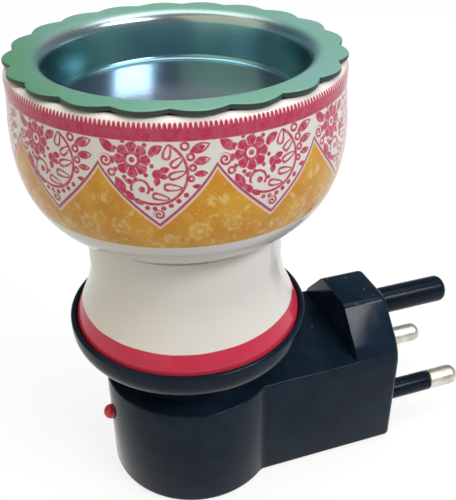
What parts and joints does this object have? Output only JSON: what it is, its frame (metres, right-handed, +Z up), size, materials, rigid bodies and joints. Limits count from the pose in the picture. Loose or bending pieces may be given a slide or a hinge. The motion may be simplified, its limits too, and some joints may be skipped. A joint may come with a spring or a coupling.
{
  "type": "electric oil warmer",
  "caption": "Plug-in electric oil warmer: a scalloped metal dish lifts out of a heated ceramic bowl on a black base whose arm ends in a mains plug.",
  "frame": {"origin": "on the bowl's axis at the flat underside of the base", "axes": "+Z up along the bowl's axis, +Y towards the wall that the plug pins enter, -Y to the indicator lamp"},
  "size_m": [0.0654, 0.1032, 0.1039],
  "materials": {
    "dish_green": "satin green coat on pressed metal, glossy inside",
    "glazed_ceramic": "glazed white ceramic, printed",
    "black_plastic": "semi-gloss moulded",
    "nickel_plate": "nickel plated",
    "lamp_red": "clear red epoxy",
    "carrier_cream": "moulded",
    "plate_aluminium": "milled",
    "steatite": "unglazed ceramic",
    "ptc_grey": "sintered ceramic",
    "contact_brass": "rolled sheet",
    "mica_tan": "pressed sheet",
    "washer_fibre": "fibre",
    "resistor_tan": "lacquered",
    "wire_red": "insulated wire",
    "wire_black": "insulated wire",
    "zinc_steel": "zinc plated"
  },
  "bodies": {
    "warmer": {"base_housing": "black_plastic", "bottom_cover": "black_plastic", "bracket_screw_back": "zinc_steel", "bracket_screw_front": "zinc_steel", "carrier_screw_high": "zinc_steel", "carrier_screw_low": "zinc_steel", "ceramic_bowl": "glazed_ceramic", "collar_tray": "black_plastic", "cover_screw_arm": "zinc_steel", "cover_screw_left": "zinc_steel", "cover_screw_right": "zinc_steel", "cup_screw_back": "zinc_steel", "cup_screw_front": "zinc_steel", "cushion_washer": "washer_fibre", "earth_pin": "black_plastic", "heater_bracket": "zinc_steel", "heater_cup": "steatite", "heater_plate": "plate_aluminium", "indicator_lamp": "lamp_red", "lamp_lead_live": "zinc_steel", "lamp_lead_neutral": "zinc_steel", "lamp_live_wire": "wire_red", "lamp_neutral_wire": "wire_black", "lamp_resistor": "resistor_tan", "live_pin": "nickel_plate", "live_pin_sleeve": "black_plastic", "live_wire": "wire_red", "lower_contact": "contact_brass", "lower_nut": "zinc_steel", "lower_washer": "zinc_steel", "mica_sheet": "mica_tan", "neutral_pin": "nickel_plate", "neutral_pin_sleeve": "black_plastic", "neutral_wire": "wire_black", "pin_carrier": "carrier_cream", "ptc_disc": "ptc_grey", "tie_tube": "zinc_steel", "upper_contact": "contact_brass", "upper_nut": "zinc_steel", "upper_washer": "zinc_steel"},
    "dish": {"oil_dish": "dish_green"}
  },
  "joints": [
    {"name": "dish_lift", "type": "slide", "parent": "warmer", "child": "dish", "axis": [0, 0, 1], "range_m": [0, 0.03]}
  ]
}
